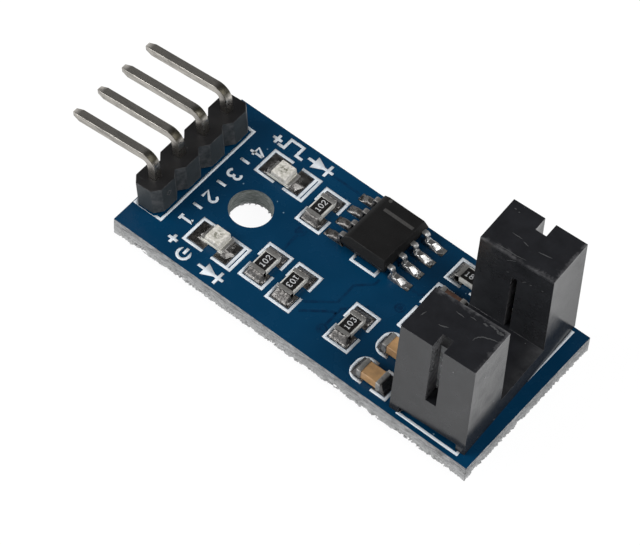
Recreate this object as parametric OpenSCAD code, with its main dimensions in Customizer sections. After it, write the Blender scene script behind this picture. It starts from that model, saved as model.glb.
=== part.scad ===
// Infrared speed sensor module: a slotted optical sensor, a comparator and a
// four-pin header on one small circuit board.
// Origin: the mounting hole's axis on the board's underside. +X runs from the
// header to the slotted sensor, +Z out of the side that carries the parts.

/* [Board] */
// Length of the board, along X
board_length = 30.7; // [30:0.1:34]
// Width of the board, along Y
board_width = 13.7; // [13.6:0.1:16]
// Thickness of the board
board_thickness = 1.6; // [1:0.1:2.4]
// Diameter of the mounting hole
mounting_hole_d = 3.2; // [2.5:0.1:3.5]
// Distance from the mounting hole's axis to the board's header end
hole_to_end = 6.55; // [6.4:0.05:7]
// Thickness of the tinned pads
pad_thickness = 0.04; // [0.02:0.01:0.06]

/* [Header] */
// Pitch of the header pins
pin_pitch = 2.54; // [2.5:0.01:2.6]
// Side of a square header pin
pin_size = 0.64; // [0.5:0.02:0.7]
// Side of a pin at its tapered tip
pin_tip_size = 0.42; // [0.2:0.02:0.46]
// Length of the taper at a pin's tip
pin_taper = 0.6; // [0.5:0.1:1.5]
// Height of a pin's bent arm above the housing's foot, to its upper face
pin_rise = 4.46; // [3.8:0.02:6]
// Distance from a pin's upright to its tip
pin_reach = 7.1; // [4:0.1:10]
// Radius of the pin's bend, on its inner side
pin_bend_r = 0.4; // [0.3:0.05:0.6]
// Distance from the board's end to the pin row
header_setback = 1.33; // [1.3:0.01:1.6]
// Shift of the pin row's middle from the board's centreline
header_shift = 0.2; // [-0.4:0.05:0.4]
// Lean of the header over the board's end, in degrees
header_lean = 7; // [0:0.5:8]
// Depth of the header's plastic, along X
cell_depth = 2.34; // [2.2:0.02:2.5]
// Height of the header's plastic
cell_height = 2.3; // [1.8:0.1:2.5]
// Depth of the notches between the header's cells
notch_depth = 0.5; // [0.2:0.05:0.6]
// Width of the notches between the header's cells
notch_width = 1.2; // [0.6:0.1:1.6]
// Gap between a pin's edges and its hole in the board
header_hole_gap = 0.02; // [0.01:0.01:0.1]

/* [Comparator] */
// Length of the comparator's body, along Y
comparator_length = 4.9; // [4.8:0.05:5.2]
// Width of the comparator's body, along X
comparator_width = 3.9; // [3.8:0.05:4.1]
// Height of the comparator's body
comparator_height = 1.45; // [1.2:0.05:1.6]
// Gap under the comparator's body, above the pads
comparator_standoff = 0.14; // [0.1:0.02:0.25]
// Slant of each of the body's sides, above and below its widest line
comparator_draft = 0.24; // [0.1:0.02:0.3]
// Drop of the bevel along the edge above the first row of leads
comparator_bevel = 0.3; // [0.1:0.02:0.4]
// Distance from the mounting hole to the comparator's middle, along X
comparator_x = 8.62; // [8.5:0.02:8.8]
// Distance from the centreline to the comparator's middle, along Y
comparator_y = 3.88; // [3.8:0.02:4]
// Pitch of the comparator's leads
lead_pitch = 1.27; // [1.2:0.01:1.27]
// Width of a lead
lead_width = 0.42; // [0.3:0.02:0.5]
// Thickness of a lead
lead_thickness = 0.2; // [0.15:0.01:0.25]
// Radius of a lead's bends, on their inner side
lead_bend_r = 0.1; // [0.05:0.01:0.12]
// Distance over the tips of opposite leads
lead_span = 6; // [5.9:0.05:6.3]
// Length of a lead's foot
lead_foot = 0.6; // [0.4:0.05:0.65]
// Length of a lead inside the body
lead_grip = 0.6; // [0.3:0.05:0.9]
// Length of a lead's pad
lead_pad_length = 1.7; // [1.5:0.05:1.8]
// Width of a lead's pad
lead_pad_width = 0.66; // [0.62:0.02:0.8]
// Distance over the outer ends of opposite pads
lead_pad_span = 7.36; // [7.2:0.02:7.44]
// Shift of the pads from the comparator's middle, along X
lead_pad_shift = 0.14; // [0:0.02:0.16]

/* [Slotted sensor] */
// Width of the sensor's slot
slot_width = 5; // [4.4:0.02:5.2]
// Depth of the sensor at its foot, along X
sensor_depth = 6.16; // [5.8:0.02:6.3]
// Height of the towers above the board
tower_height = 9.7; // [8:0.1:12]
// Height of the slot's floor above the board
base_height = 1.78; // [1.2:0.02:3]
// Thickness of each tower's outer wall, which its groove cuts through
outer_wall = 1.28; // [1:0.02:1.4]
// Thickness of each tower's inner wall
inner_wall = 0.86; // [0.5:0.02:0.9]
// Thickness of each tower's end walls
end_wall = 0.72; // [0.5:0.02:0.9]
// Thickness of each tower's roof
tower_roof = 1.3; // [0.8:0.1:2]
// Width of the groove down each tower's outer face
groove_width = 0.84; // [0.6:0.02:1.4]
// Height of the groove's lower end above the board
groove_foot = 3.4; // [2.4:0.1:5]
// Width of the light slit in each inner wall
slit_width = 0.45; // [0.3:0.05:0.8]
// Distance from a tower's top to its slit's upper end
slit_drop = 2.2; // [1.6:0.1:3]
// Slant of each of the sensor's outer sides, from its foot to its top
sensor_draft = 0.12; // [0.02:0.02:0.2]
// Height of the opening under the sensor, between its two rails
sensor_standoff = 0.64; // [0.3:0.02:0.8]
// Width of the rail along each of the sensor's long sides, on which it stands
sensor_rail_width = 0.76; // [0.5:0.02:0.9]
// Turn of the sensor about its middle, in degrees
sensor_turn = 2.7; // [0:0.1:3]
// Distance from the mounting hole to the sensor's middle, along X
sensor_x = 20.04; // [19.8:0.02:20.3]
// Shift of the sensor's middle from the centreline
sensor_y = 0.26; // [0:0.02:0.44]

/* [Emitter and receiver] */
// Height of the emitter's and the receiver's body
opto_height = 5.7; // [4.5:0.1:6.2]
// Thickness of that body without its lens
opto_thickness = 1.2; // [1:0.05:1.4]
// Gap between that body and the walls beside it
opto_play = 0.1; // [0.05:0.01:0.2]
// Radius of the round lens on its inner face
lens_r = 0.75; // [0.65:0.05:1]
// Bulge of that lens
lens_bulge = 0.6; // [0.3:0.05:0.6]
// Distance from the body's upper end to the middle of its lens
lens_drop = 1.9; // [1.2:0.1:3]
// Pitch of its two leads
opto_lead_pitch = 2.54; // [2:0.02:2.9]
// Side of a square lead
opto_lead_size = 0.5; // [0.4:0.02:0.55]
// Length of a lead inside the body
opto_lead_grip = 1; // [0.5:0.1:1.5]
// Gap between a lead's edges and its hole in the board
sensor_hole_gap = 0.1; // [0.05:0.01:0.15]

/* [Chip parts] */
// Length of a chip resistor or capacitor
chip_length = 2; // [1.8:0.05:2.1]
// Width of a chip resistor or capacitor
chip_width = 1.22; // [1:0.02:1.26]
// Height of a chip resistor
resistor_height = 0.5; // [0.4:0.05:0.7]
// Height of a chip capacitor
capacitor_height = 0.85; // [0.6:0.05:1.1]
// Length of a tinned end
cap_length = 0.36; // [0.2:0.02:0.5]
// Thickness of a tinned end
cap_wall = 0.04; // [0.02:0.01:0.06]
// Thickness of a resistor's black glaze
glaze_thickness = 0.03; // [0.02:0.01:0.05]
// Strip left bare on each side of the glaze
glaze_margin = 0.12; // [0.04:0.01:0.2]
// Gap between a chip part's two pads
pad_split = 0.86; // [0.6:0.02:1]
// Gap between a pad and the frame printed around it
pad_gap = 0.05; // [0.02:0.01:0.1]
// Distance from the sensor's foot to the middle of the chip parts beside it
column_gap = 1.62; // [1.6:0.02:1.7]

/* [Indicator lights] */
// Length of an indicator light
light_length = 2; // [1.8:0.05:2.1]
// Width of an indicator light
light_width = 1.3; // [1:0.02:1.3]
// Height of an indicator light's base
light_base = 0.3; // [0.2:0.02:0.5]
// Length of its lens at the foot
light_lens_length = 1.42; // [1:0.02:1.46]
// Height of its lens
light_lens_height = 0.5; // [0.3:0.05:0.8]
// Slant of each of the lens's ends
light_lens_draft = 0.1; // [0.02:0.02:0.2]
// Length of the metal on each of its ends
light_cap_length = 0.26; // [0.1:0.02:0.26]

/* [Solder] */
// Depth to which pins and leads reach below the board
tail_length = 1.2; // [1.1:0.1:1.8]
// Width of the pad around a hole
ring_width = 0.35; // [0.25:0.05:0.45]
// Depth of a solder cone below the board
cone_depth = 0.9; // [0.6:0.05:0.95]
// Width of a pad's rim that the solder leaves bare
bare_rim = 0.1; // [0.05:0.01:0.14]
// Height of the solder at a chip part's end
fillet_height = 0.36; // [0.2:0.02:0.38]
// Reach of that solder along the pad
fillet_reach = 0.33; // [0.2:0.01:0.34]

/* [Chip part places] */
// Distance of resistors 1 to 4 from the mounting hole, along X
resistor_x = [3.85, 3.84, 6.41, 11.46]; // [2:0.01:14]
// Distance of resistors 1 to 4 from the centreline, along Y
resistor_y = [3.1, -3.03, -3.14, -3.12]; // [-5:0.01:5]
// Lengths of the frames printed around resistors 1 to 4
resistor_frame = [3.54, 3.5, 3.8, 3.76]; // [3.3:0.02:4]
// Distances of resistors 5 and 6 from the centreline, along Y
beside_sensor_y = [5.3, 0.12]; // [-5.5:0.01:5.5]
// Distances of capacitors 1 to 3 from the centreline, along Y
capacitor_y = [-5.18, -2.48, 2.62]; // [-5.5:0.01:5.5]
// Distances of capacitors 1 to 3 from the middle of the column beside the sensor
capacitor_setback = [0.26, 0.17, 0]; // [0:0.01:0.4]
// Length of the frames printed around the parts beside the sensor
column_frame = 3.52; // [3.3:0.02:3.7]

/* [Legend] */
// Width of the printed lines
line_width = 0.22; // [0.15:0.01:0.24]
// Thickness of the printed ink
ink_thickness = 0.02; // [0.01:0.01:0.03]
// Width of the gap in a frame's long sides
frame_gap = 0.78; // [0.4:0.02:1.2]
// Width of the frame around a chip part
frame_width = 2.16; // [2.1:0.02:2.3]
// Length of the frame around an indicator light
light_frame_length = 4.28; // [4.1:0.02:4.5]
// Width of the frame around an indicator light
light_frame_width = 2.4; // [2.3:0.02:2.5]
// Height of the printed signs
sign_height = 1.1; // [0.8:0.05:1.2]
// Gap between the signs and the frame beside them
sign_gap = 0.35; // [0.1:0.05:0.4]
// Distance from the sensor's side nearest the header to its printed frame
sensor_frame_cut = 0.94; // [0.6:0.02:1.2]
// Distance from the sensor's middle to that of its frame, along Y
sensor_frame_drop = 0.25; // [0:0.01:0.36]
// Distance by which the frame lies within the sensor's other sides
sensor_frame_inset = 0.04; // [0:0.01:0.1]
// Distance from the comparator's middle to that of the marks beside it, along X
comparator_mark_shift = 0.3; // [0:0.02:0.5]

/* [Hidden] */

$fn = 48;
pin_count = 4;
leads_a_side = 4;
over = 1;
far = 100;
pad_top = board_thickness + pad_thickness;

// Header: its foot rests along one edge, and its pins lean with it
pin_row_x = header_setback - hole_to_end;
header_length = pin_count * pin_pitch;
foot_height = pad_top + cell_depth / 2 * sin(header_lean);
header_foot_x = pin_row_x - (foot_height - board_thickness / 2) * tan(header_lean);
pin_outer_r = pin_bend_r + pin_size;
pin_depth = foot_height + tail_length + over;
hole_drift = board_thickness / 2 * tan(header_lean);
header_hole_r = norm([pin_size / 2 / cos(header_lean) + hole_drift, pin_size / 2]) + header_hole_gap;

// Comparator, from its pads
comparator_waist = comparator_standoff + comparator_height / 2;
comparator_top = comparator_standoff + comparator_height;
lead_outer_r = lead_bend_r + lead_thickness;
riser_x = lead_span / 2 - lead_foot - lead_thickness;

// Sensor, from its own middle
pocket_thickness = opto_thickness + lens_bulge + opto_play;
pocket_y = slot_width / 2 + inner_wall;
pocket_end = pocket_y + pocket_thickness;
sensor_width = 2 * (pocket_end + outer_wall);
pocket_width = sensor_depth - 2 * end_wall;
pocket_height = tower_height - tower_roof;
opto_width = pocket_width - 2 * opto_play;
opto_foot = pocket_height - opto_height;
opto_lead_y = pocket_end - opto_thickness / 2;
sensor_hole_r = opto_lead_size / 2 * sqrt(2) + sensor_hole_gap;

// Chip parts: middle of the printed frame along X and Y, turn, length of the
// frame, and the part's shift from the frame's middle
column_x = sensor_x - sensor_depth / 2 - column_gap;
resistors = [
    [resistor_x[0], resistor_y[0], 90, resistor_frame[0], [-0.14, -0.05]],
    [resistor_x[1], resistor_y[1], 90, resistor_frame[1], [-0.07, 0.02]],
    [resistor_x[2], resistor_y[2], -90, resistor_frame[2], [-0.17, 0.06]],
    [resistor_x[3], resistor_y[3], 90, resistor_frame[3], [-0.12, -0.07]],
    [column_x, beside_sensor_y[0], 0, column_frame, [-0.12, -0.08]],
    [column_x, beside_sensor_y[1], 0, column_frame, [0, 0]]
];
capacitors = [
    [column_x - capacitor_setback[0], capacitor_y[0], 0, column_frame, [0, -0.17]],
    [column_x - capacitor_setback[1], capacitor_y[1], 0, column_frame, [-0.06, -0.17]],
    [column_x - capacitor_setback[2], capacitor_y[2], 180, column_frame, [0, 0]]
];

// Legend: the bar at a light's cathode end, and the round corners' share of a frame's width
light_bar_x = light_frame_length / 2 - 2.4 * line_width;
round_share = 0.4;

// Indicator lights: middle of the light, middle of its frame
lights = [
    [[-0.05, 3.58], [0.14, 3.86]],
    [[0.05, -3.62], [0.16, -3.84]]
];

// Places

module on_header() {
    translate([header_foot_x, header_shift, foot_height]) rotate([0, -header_lean, 0]) children();
}

module on_sensor() {
    translate([sensor_x, sensor_y, board_thickness]) rotate([0, 0, sensor_turn]) children();
}

module on_chip(part) {
    translate([part[0] + part[4][0], part[1] + part[4][1], pad_top]) rotate([0, 0, part[2]]) children();
}

module in_frame(part) {
    translate([part[0], part[1]]) rotate(part[2]) children();
}

module on_light(light) {
    translate([light[0][0], light[0][1], pad_top]) children();
}

module both_ends() {
    children();
    mirror([1, 0, 0]) children();
}

function pin_y(i) = (i - (pin_count - 1) / 2) * pin_pitch;

module at_pin_holes() {
    for (i = [0 : pin_count - 1])
        translate([pin_row_x, header_shift + pin_y(i), 0]) children();
}

module at_opto_leads() {
    on_sensor()
        for (x = [-1, 1], y = [-1, 1])
            translate([x * opto_lead_pitch / 2, y * opto_lead_y, 0]) children();
}

// Leads run down the header's side from the +Y end and back up the other side
function lead_y(i) = ((leads_a_side - 1) / 2 - i % leads_a_side) * lead_pitch;

module at_lead(i, shift = 0) {
    translate([comparator_x + shift, comparator_y, pad_top])
        rotate([0, 0, i < leads_a_side ? 180 : 0]) translate([0, -lead_y(i), 0]) children();
}

module below(height) {
    translate([-far / 2, -far / 2, height - far]) cube([far, far, far]);
}

module above(height) {
    translate([-far / 2, -far / 2, height]) cube([far, far, far]);
}

// Circuit board and its pads

module through_hole(radius) {
    translate([0, 0, -over]) cylinder(r = radius, h = board_thickness + 2 * over);
}

module circuit_board() {
    color("midnightblue")
    difference() {
        translate([-hole_to_end, -board_width / 2, 0])
            cube([board_length, board_width, board_thickness]);
        through_hole(mounting_hole_d / 2);
        at_pin_holes() through_hole(header_hole_r);
        at_opto_leads() translate([0, 0, -board_thickness]) through_hole(sensor_hole_r);
    }
}

module ring_pad(hole_r) {
    difference() {
        cylinder(r = hole_r + ring_width, h = pad_thickness);
        translate([0, 0, -over]) cylinder(r = hole_r, h = pad_thickness + 2 * over);
    }
}

// A chip part's two pads fill the frame printed around it, up to a narrow gap
module split_pads() {
    difference() {
        children();
        square([pad_split, far], center = true);
    }
}

module all_chip_pads() {
    inset = line_width + pad_gap;
    width = frame_width - 2 * inset;
    wide = light_frame_width - 2 * inset;
    for (part = resistors) in_frame(part)
        split_pads() square([part[3] - 2 * inset, width], center = true);
    for (part = capacitors) in_frame(part)
        split_pads() one_round_end(part[3] - 2 * inset, width, round_share * frame_width - inset);
    for (light = lights) translate(light[1]) split_pads()
        translate([inset - light_frame_length / 2, -wide / 2])
            square([light_frame_length / 2 + light_bar_x - inset - pad_gap, wide]);
}

// The sensor touches the board with its two rails alone
module sensor_rails(gap) {
    translate([sensor_x, sensor_y]) rotate(sensor_turn)
        for (side = [-1, 1]) translate([side * (sensor_depth - sensor_rail_width) / 2, 0])
            square([sensor_rail_width + 2 * gap, sensor_width + 2 * gap], center = true);
}

module lead_pad() {
    translate([lead_pad_span / 2 - lead_pad_length, -lead_pad_width / 2, -pad_thickness])
        cube([lead_pad_length, lead_pad_width, pad_thickness]);
}

module pads() {
    color("silver") {
        for (z = [-pad_thickness, board_thickness])
            at_pin_holes() translate([0, 0, z]) ring_pad(header_hole_r);
        at_opto_leads() translate([0, 0, -board_thickness - pad_thickness]) ring_pad(sensor_hole_r);
        for (i = [0 : 2 * leads_a_side - 1]) at_lead(i) translate([lead_pad_end(i), 0, 0]) lead_pad();
        translate([0, 0, board_thickness]) linear_extrude(pad_thickness) difference() {
            all_chip_pads();
            sensor_rails(pad_gap);
        }
    }
}

function lead_pad_end(i) = i < leads_a_side ? -lead_pad_shift : lead_pad_shift;

// Legend

module ring_of(length, width) {
    difference() {
        square([length, width], center = true);
        square([length - 2 * line_width, width - 2 * line_width], center = true);
    }
}

module frame(length, width) {
    difference() {
        ring_of(length, width);
        square([frame_gap, width + over], center = true);
    }
}

module one_round_end(length, width, radius) {
    end = radius - length / 2;
    translate([end, -width / 2]) square([length - radius, width]);
    translate([-length / 2, radius - width / 2]) square([radius, width - 2 * radius]);
    for (side = [-1, 1]) translate([end, side * (width / 2 - radius)]) circle(r = radius);
}

module round_frame(length, width) {
    radius = round_share * width;
    difference() {
        one_round_end(length, width, radius);
        one_round_end(length - 2 * line_width, width - 2 * line_width, radius - line_width);
        square([frame_gap, width + over], center = true);
    }
}

module light_frame() {
    frame(light_frame_length, light_frame_width);
    translate([light_bar_x, -light_frame_width / 2]) square([line_width, light_frame_width]);
}

module plus_sign() {
    arm = 0.7 * sign_height;
    square([arm, line_width], center = true);
    square([line_width, arm], center = true);
}

// Diode sign: a triangle that points to a bar, on a line
module diode_sign() {
    half = sign_height / 2;
    square([4 * half, line_width], center = true);
    polygon([[-half, -half], [half, 0], [-half, half]]);
    translate([half, -half]) square([line_width, sign_height]);
}

// Power sign: a ring that is open at one side, with a bar in the opening
module power_sign() {
    half = sign_height / 2;
    difference() {
        circle(r = half);
        circle(r = half - line_width);
        translate([-1.5 * line_width, 0]) square([3 * line_width, sign_height]);
    }
    translate([-line_width / 2, 0]) square([line_width, half]);
}

// Pulse sign: one step up and down
module pulse_sign() {
    half = sign_height / 2;
    for (x = [-half, half]) translate([x - line_width / 2, -half]) square([line_width, sign_height]);
    translate([-half, half - line_width]) square([sign_height, line_width]);
    for (x = [-2 * half, half]) translate([x, -half]) square([half, line_width]);
}

module light_signs(light, side) {
    y = light_frame_width / 2 + sign_gap + sign_height / 2;
    translate([light[1][0], light[1][1] + side * y]) {
        translate([1.1 * sign_height, 0]) diode_sign();
        translate([-1.1 * sign_height, 0]) children();
    }
}

module comparator_marks() {
    length = 0.46 * comparator_length;
    leg = 2 * line_width;
    for (side = [0, 1])
        translate([comparator_x + comparator_mark_shift, comparator_y, 0]) mirror([0, side]) {
            translate([-length / 2, comparator_length / 2 + line_width / 2]) square([length, line_width]);
            for (x = [-length / 2, length / 2 - line_width])
                translate([x, comparator_length / 2 + line_width / 2 - leg]) square([line_width, leg]);
        }
}

module header_marks() {
    translate([pin_row_x, header_shift]) {
        ring_of(cell_depth + 0.16, header_length + 0.04);
        for (i = [1 : pin_count - 1])
            translate([0.75 * pin_pitch, pin_y(i) - pin_pitch / 2]) square([0.3 * pin_pitch, line_width]);
        for (side = [-1, 1]) translate([1.1 * pin_pitch, side * (header_length / 2 + sign_height / 2)])
            plus_sign();
    }
}

module sensor_frame() {
    translate([sensor_x + (sensor_frame_cut - sensor_frame_inset) / 2, sensor_y - sensor_frame_drop])
        ring_of(sensor_depth - sensor_frame_cut - sensor_frame_inset, sensor_width - 2 * sensor_frame_inset);
}

module marks() {
    for (part = resistors) in_frame(part) frame(part[3], frame_width);
    for (part = capacitors) in_frame(part) round_frame(part[3], frame_width);
    for (light = lights) translate(light[1]) light_frame();
    light_signs(lights[0], 1) pulse_sign();
    light_signs(lights[1], -1) power_sign();
    comparator_marks();
    header_marks();
    sensor_frame();
}

// The ink stops at the pads and at what stands on the board
module legend() {
    color("white")
    translate([0, 0, board_thickness]) linear_extrude(ink_thickness) difference() {
        marks();
        all_chip_pads();
        translate([header_foot_x, header_shift]) header_outline();
        sensor_rails(0);
    }
}

// Header

module header_outline() {
    spread = notch_width / 2 * (1 + over / notch_depth);
    difference() {
        square([cell_depth, header_length], center = true);
        for (i = [0 : pin_count], side = [-1, 1])
            translate([side * cell_depth / 2, i * pin_pitch - header_length / 2])
                polygon([[-side * notch_depth, 0], [side * over, -spread], [side * over, spread]]);
    }
}

module header_housing() {
    color("dimgray")
    on_header() difference() {
        linear_extrude(cell_height) header_outline();
        for (i = [0 : pin_count - 1])
            translate([-pin_size / 2, pin_y(i) - pin_size / 2, -over])
                cube([pin_size, pin_size, cell_height + 2 * over]);
    }
}

module pin_side() {
    bend_x = pin_size / 2 - pin_outer_r;
    bend_z = pin_rise - pin_outer_r;
    slope = (pin_size - pin_tip_size) / 2;
    translate([-pin_size / 2, -pin_depth]) square([pin_size, pin_depth + bend_z]);
    translate([bend_x, bend_z]) intersection() {
        difference() {
            circle(r = pin_outer_r);
            circle(r = pin_bend_r);
        }
        square(pin_outer_r + over);
    }
    polygon([
        [bend_x, pin_rise], [pin_taper - pin_reach, pin_rise], [-pin_reach, pin_rise - slope],
        [-pin_reach, pin_rise - pin_size + slope], [pin_taper - pin_reach, pin_rise - pin_size],
        [bend_x, pin_rise - pin_size]
    ]);
}

module pin_plan() {
    half = pin_size / 2;
    tip = pin_tip_size / 2;
    polygon([
        [half, -half], [half, half], [pin_taper - pin_reach, half], [-pin_reach, tip],
        [-pin_reach, -tip], [pin_taper - pin_reach, -half]
    ]);
}

module header_pin(i) {
    color("lightgray")
    difference() {
        on_header() translate([0, pin_y(i), 0]) intersection() {
            rotate([90, 0, 0]) linear_extrude(2 * pin_size, center = true) pin_side();
            translate([0, 0, -pin_depth]) linear_extrude(pin_depth + pin_rise + over) pin_plan();
        }
        below(-tail_length);
    }
}

// Solder fills a hole and ends in a hollow cone on the board's underside
module solder_cone(hole_r, neck_r) {
    land = 0.02;
    rim_r = hole_r + ring_width - bare_rim;
    flare = rim_r - neck_r;
    curve_r = (flare * flare + cone_depth * cone_depth) / (2 * flare);
    rotate_extrude() difference() {
        translate([0, -cone_depth]) square([rim_r + land, cone_depth]);
        translate([neck_r + curve_r, -cone_depth]) circle(r = curve_r);
    }
    cylinder(r = rim_r + land, h = board_thickness / 2);
}

module header_solder() {
    color("silver")
    difference() {
        at_pin_holes() {
            translate([0, 0, -pad_thickness])
                cylinder(r = header_hole_r, h = pad_top + pad_thickness);
            difference() {
                translate([0, 0, board_thickness / 2]) rotate([0, -header_lean, 0])
                    translate([0, 0, -board_thickness / 2]) solder_cone(header_hole_r, 0.75 * pin_size);
                above(-pad_thickness);
            }
        }
        on_header() for (i = [0 : pin_count - 1])
            translate([-pin_size / 2, pin_y(i) - pin_size / 2, -pin_depth])
                cube([pin_size, pin_size, pin_depth + over]);
    }
}

// Comparator

module comparator_side() {
    half = comparator_width / 2;
    rise = comparator_height / 2;
    polygon([
        [-half, comparator_waist], [comparator_draft - half, comparator_standoff],
        [half - comparator_draft, comparator_standoff], [half, comparator_waist],
        [half - comparator_draft, comparator_top],
        [comparator_draft + 1.2 * comparator_bevel - half, comparator_top],
        [comparator_draft * (rise - comparator_bevel) / rise - half, comparator_top - comparator_bevel]
    ]);
}

module comparator_end() {
    half = comparator_length / 2;
    polygon([
        [-half, comparator_waist], [comparator_draft - half, comparator_standoff],
        [half - comparator_draft, comparator_standoff], [half, comparator_waist],
        [half - comparator_draft, comparator_top], [comparator_draft - half, comparator_top]
    ]);
}

module quarter_bend() {
    intersection() {
        difference() {
            circle(r = lead_outer_r);
            circle(r = lead_bend_r);
        }
        square(lead_outer_r + over);
    }
}

module lead_shape() {
    shoulder = comparator_waist + lead_thickness / 2;
    bend_x = riser_x - lead_bend_r;
    foot_x = riser_x + lead_outer_r;
    start = comparator_width / 2 - lead_grip;
    rotate([90, 0, 0]) linear_extrude(lead_width, center = true) {
        translate([start, shoulder - lead_thickness]) square([bend_x - start, lead_thickness]);
        translate([bend_x, shoulder - lead_outer_r]) quarter_bend();
        translate([riser_x, lead_outer_r]) square([lead_thickness, shoulder - 2 * lead_outer_r]);
        translate([foot_x, lead_outer_r]) rotate(180) quarter_bend();
        translate([foot_x, 0]) square([lead_span / 2 - foot_x, lead_thickness]);
    }
}

module comparator_lead(i) {
    color("silver") at_lead(i) lead_shape();
}

module comparator_body() {
    color("black")
    difference() {
        translate([comparator_x, comparator_y, pad_top]) intersection() {
            rotate([90, 0, 0]) linear_extrude(far, center = true) comparator_side();
            rotate([90, 0, 90]) linear_extrude(far, center = true) comparator_end();
        }
        for (i = [0 : 2 * leads_a_side - 1]) at_lead(i) lead_shape();
    }
}

module lead_solder(toe) {
    heel = riser_x - lead_thickness;
    side = 0.7 * lead_thickness;
    rotate([90, 0, 0]) linear_extrude(lead_pad_width - bare_rim, center = true)
        polygon([
            [heel, 0], [heel, side / 2], [riser_x, 2 * side], [riser_x + lead_thickness, 2 * side],
            [riser_x + 2 * lead_thickness, side], [lead_span / 2, side], [toe, side / 3], [toe, 0]
        ]);
}

module comparator_solder() {
    color("silver")
    for (i = [0 : 2 * leads_a_side - 1])
        at_lead(i) difference() {
            lead_solder(lead_pad_span / 2 + lead_pad_end(i) - bare_rim);
            lead_shape();
        }
}

// Slotted sensor

module slanted_side(width) {
    foot = width / 2;
    top = foot - sensor_draft;
    polygon([[-foot, 0], [foot, 0], [top, tower_height], [-top, tower_height]]);
}

module sensor_block() {
    intersection() {
        rotate([90, 0, 0]) linear_extrude(far, center = true) slanted_side(sensor_depth);
        rotate([90, 0, 90]) linear_extrude(far, center = true) slanted_side(sensor_width);
    }
}

// What stays open under the sensor, between its two rails
module open_underside() {
    half = sensor_depth / 2 - sensor_rail_width;
    translate([-half, -far / 2, -over]) cube([2 * half, far, over + sensor_standoff]);
}

module sensor_housing() {
    color([0.1, 0.1, 0.11])
    on_sensor() difference() {
        sensor_block();
        open_underside();
        translate([-sensor_depth / 2 - over, -slot_width / 2, base_height])
            cube([sensor_depth + 2 * over, slot_width, tower_height]);
        for (side = [0, 1]) mirror([0, side, 0]) {
            translate([-pocket_width / 2, pocket_y, -over])
                cube([pocket_width, pocket_thickness, pocket_height + over]);
            translate([-groove_width / 2, pocket_end - opto_play, groove_foot])
                cube([groove_width, opto_play + outer_wall + over, pocket_height - groove_foot]);
            translate([-groove_width / 2, pocket_end, groove_foot])
                cube([groove_width, outer_wall + over, tower_height]);
            translate([-slit_width / 2, slot_width / 2 - over, base_height])
                cube([slit_width, inner_wall + 2 * over, tower_height - slit_drop - base_height]);
        }
    }
}

module opto_lead() {
    translate([-opto_lead_size / 2, -opto_lead_size / 2, -board_thickness - tail_length])
        cube([opto_lead_size, opto_lead_size, board_thickness + tail_length + opto_foot + opto_lead_grip]);
}

module opto_body() {
    face_y = pocket_end - opto_thickness;
    difference() {
        union() {
            translate([-opto_width / 2, face_y, opto_foot])
                cube([opto_width, opto_thickness, opto_height]);
            translate([0, face_y + lens_r - lens_bulge, opto_foot + opto_height - lens_drop])
                sphere(r = lens_r);
        }
        for (x = [-1, 1]) translate([x * opto_lead_pitch / 2, opto_lead_y, 0]) opto_lead();
    }
}

module infrared_emitter() {
    color("lightcyan") on_sensor() mirror([0, 1, 0]) opto_body();
}

module infrared_receiver() {
    color("slategray") on_sensor() opto_body();
}

module sensor_lead(end, side) {
    color("silver")
    on_sensor() translate([end * opto_lead_pitch / 2, side * opto_lead_y, 0]) opto_lead();
}

module sensor_solder() {
    color("silver")
    at_opto_leads() difference() {
        translate([0, 0, -board_thickness - pad_thickness]) {
            cylinder(r = sensor_hole_r, h = board_thickness + pad_thickness);
            difference() {
                solder_cone(sensor_hole_r, 0.75 * opto_lead_size);
                above(0);
            }
        }
        opto_lead();
    }
}

// Chip resistors and capacitors

module chip_core(height, side) {
    translate([cap_wall - chip_length / 2, side - chip_width / 2, cap_wall])
        cube([chip_length - 2 * cap_wall, chip_width - 2 * side, height - 2 * cap_wall]);
}

module chip_ends(height, side) {
    both_ends() difference() {
        translate([chip_length / 2 - cap_length, -chip_width / 2, 0])
            cube([cap_length, chip_width, height]);
        chip_core(height, side);
    }
}

module resistor_body(part) {
    color("lightgray") on_chip(part) chip_core(resistor_height, 0);
}

module resistor_ends(part) {
    color("silver") on_chip(part) chip_ends(resistor_height, -over);
}

module resistor_glaze(part) {
    length = chip_length - 2 * cap_length;
    width = chip_width - 2 * glaze_margin;
    color("black") on_chip(part)
        translate([-length / 2, -width / 2, resistor_height - cap_wall])
            cube([length, width, glaze_thickness]);
}

module capacitor_body(part) {
    color("tan") on_chip(part) chip_core(capacitor_height, cap_wall);
}

module capacitor_ends(part) {
    color("silver") on_chip(part) chip_ends(capacitor_height, cap_wall);
}

// Indicator lights

module light_core(side) {
    translate([cap_wall - light_length / 2, side - light_width / 2, cap_wall])
        cube([light_length - 2 * cap_wall, light_width - 2 * side, light_base - 2 * cap_wall]);
}

module light_base_plate(light) {
    color("ivory") on_light(light) {
        light_core(0);
        translate([-light_lens_length / 2, -light_width / 2, light_base - 2 * cap_wall])
            cube([light_lens_length, light_width, 2 * cap_wall]);
    }
}

module light_ends(light) {
    color("silver") on_light(light)
        both_ends() difference() {
            translate([light_length / 2 - light_cap_length, -light_width / 2, 0])
                cube([light_cap_length, light_width, light_base]);
            light_core(-over);
        }
}

module light_lens(light) {
    foot = light_lens_length / 2;
    top = foot - light_lens_draft;
    color("ivory") on_light(light)
        translate([0, 0, light_base]) rotate([90, 0, 0])
            linear_extrude(light_width, center = true)
                polygon([[-foot, 0], [foot, 0], [top, light_lens_height], [-top, light_lens_height]]);
}

// Solder at the ends of the chip parts

module end_fillets(length, width, height) {
    both_ends()
        translate([length / 2, 0, 0]) rotate([90, 0, 0]) linear_extrude(width, center = true)
            difference() {
                square([fillet_reach, height]);
                translate([fillet_reach, height]) circle(r = 0.9 * min(fillet_reach, height));
            }
}

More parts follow.
